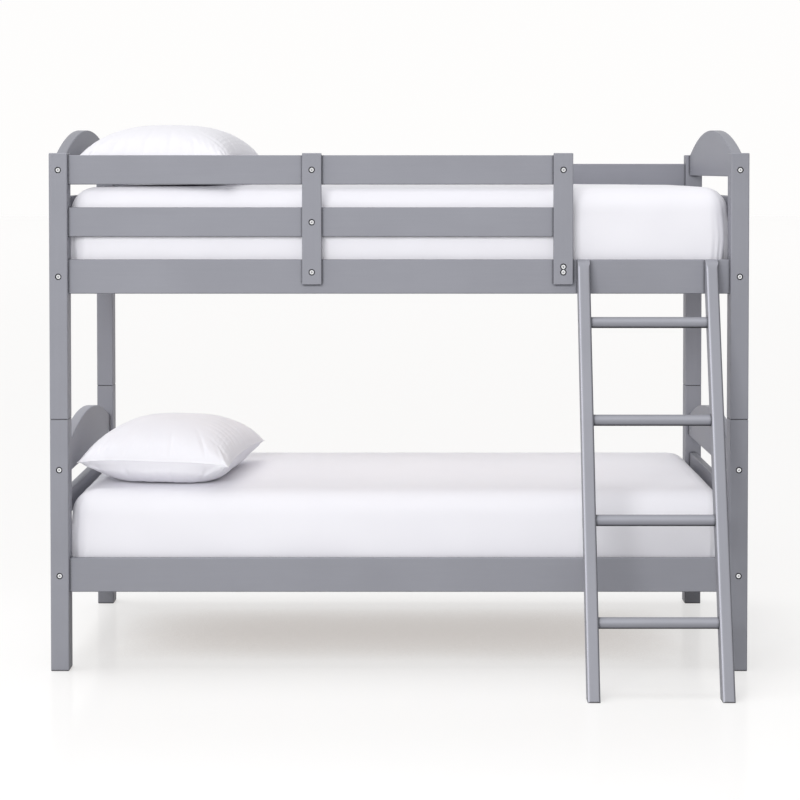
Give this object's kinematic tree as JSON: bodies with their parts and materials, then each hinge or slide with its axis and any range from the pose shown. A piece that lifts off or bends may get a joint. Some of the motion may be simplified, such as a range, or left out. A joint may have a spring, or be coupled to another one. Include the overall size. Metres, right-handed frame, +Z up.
{
  "type": "bunk bed",
  "caption": "Twin-over-twin wooden bunk bed with arched end panels, guard rails, a leaning rung ladder, mattresses and pillows.",
  "frame": {"origin": "on the floor, in the middle of the footprint that the posts and the ladder's feet fill together", "axes": "+X along the bed towards the ladder's end, +Y from the ladder side to the rear, +Z up"},
  "size_m": [2.02, 1.4416, 1.5916],
  "materials": {
    "grey_paint": "cool grey satin paint over solid wood",
    "raw_pine": "planed, unpainted",
    "zinc_steel": "bright zinc",
    "mattress_cotton": "white cotton fitted sheet",
    "pillow_cotton": "white cotton pillow case"
  },
  "bodies": {
    "lower_bed": {"lower_front_left_post": "grey_paint", "lower_front_right_post": "grey_paint", "lower_rear_left_post": "grey_paint", "lower_rear_right_post": "grey_paint", "lower_left_arch_panel": "grey_paint", "lower_right_arch_panel": "grey_paint", "lower_left_crosspiece": "grey_paint", "lower_right_crosspiece": "grey_paint", "lower_left_end_rail": "grey_paint", "lower_right_end_rail": "grey_paint", "lower_front_side_rail": "grey_paint", "lower_rear_side_rail": "grey_paint", "lower_slat_ledgers": "grey_paint", "lower_slats": "raw_pine", "lower_bolts": "zinc_steel", "lower_barrel_nuts": "zinc_steel", "lower_dowels": "raw_pine", "lower_wood_screws": "zinc_steel", "stacking_pins": "zinc_steel"},
    "upper_bed": {"upper_front_left_post": "grey_paint", "upper_front_right_post": "grey_paint", "upper_rear_left_post": "grey_paint", "upper_rear_right_post": "grey_paint", "upper_left_arch_panel": "grey_paint", "upper_right_arch_panel": "grey_paint", "upper_left_crosspiece": "grey_paint", "upper_right_crosspiece": "grey_paint", "upper_left_end_rail": "grey_paint", "upper_right_end_rail": "grey_paint", "upper_front_side_rail": "grey_paint", "upper_rear_side_rail": "grey_paint", "upper_slat_ledgers": "grey_paint", "upper_slats": "raw_pine", "upper_bolts": "zinc_steel", "upper_barrel_nuts": "zinc_steel", "upper_dowels": "raw_pine", "upper_wood_screws": "zinc_steel", "front_top_guard_rail": "grey_paint", "front_middle_guard_rail": "grey_paint", "rear_top_guard_rail": "grey_paint", "rear_middle_guard_rail": "grey_paint", "front_left_guard_post": "grey_paint", "front_right_guard_post": "grey_paint", "rear_left_guard_post": "grey_paint", "rear_right_guard_post": "grey_paint", "guard_bolts": "zinc_steel", "guard_sleeve_nuts": "zinc_steel", "ladder_keepers": "zinc_steel", "keeper_screws": "zinc_steel"},
    "ladder": {"ladder_left_rail": "grey_paint", "ladder_right_rail": "grey_paint", "ladder_rungs": "grey_paint", "rung_screws": "zinc_steel", "ladder_hooks": "zinc_steel", "ladder_hook_screws": "zinc_steel"},
    "lower_mattress_body": {"lower_mattress": "mattress_cotton"},
    "upper_mattress_body": {"upper_mattress": "mattress_cotton"},
    "lower_pillow_body": {"lower_pillow": "pillow_cotton"},
    "upper_pillow_body": {"upper_pillow": "pillow_cotton"}
  },
  "joints": [
    {"name": "upper_bed_lift", "type": "slide", "parent": "lower_bed", "child": "upper_bed", "axis": [0, 0, 1], "range_m": [0, 0.06]},
    {"name": "ladder_lift", "type": "slide", "parent": "upper_bed", "child": "ladder", "axis": [0, 0, 1], "range_m": [0, 0.05]},
    {"name": "lower_mattress_lift", "type": "slide", "parent": "lower_bed", "child": "lower_mattress_body", "axis": [0, 0, 1], "range_m": [0, 0.12]},
    {"name": "upper_mattress_lift", "type": "slide", "parent": "upper_bed", "child": "upper_mattress_body", "axis": [0, 0, 1], "range_m": [0, 0.12]},
    {"name": "lower_pillow_lift", "type": "slide", "parent": "lower_mattress_body", "child": "lower_pillow_body", "axis": [0, 0, 1], "range_m": [0, 0.12]},
    {"name": "upper_pillow_lift", "type": "slide", "parent": "upper_mattress_body", "child": "upper_pillow_body", "axis": [0, 0, 1], "range_m": [0, 0.12]}
  ]
}
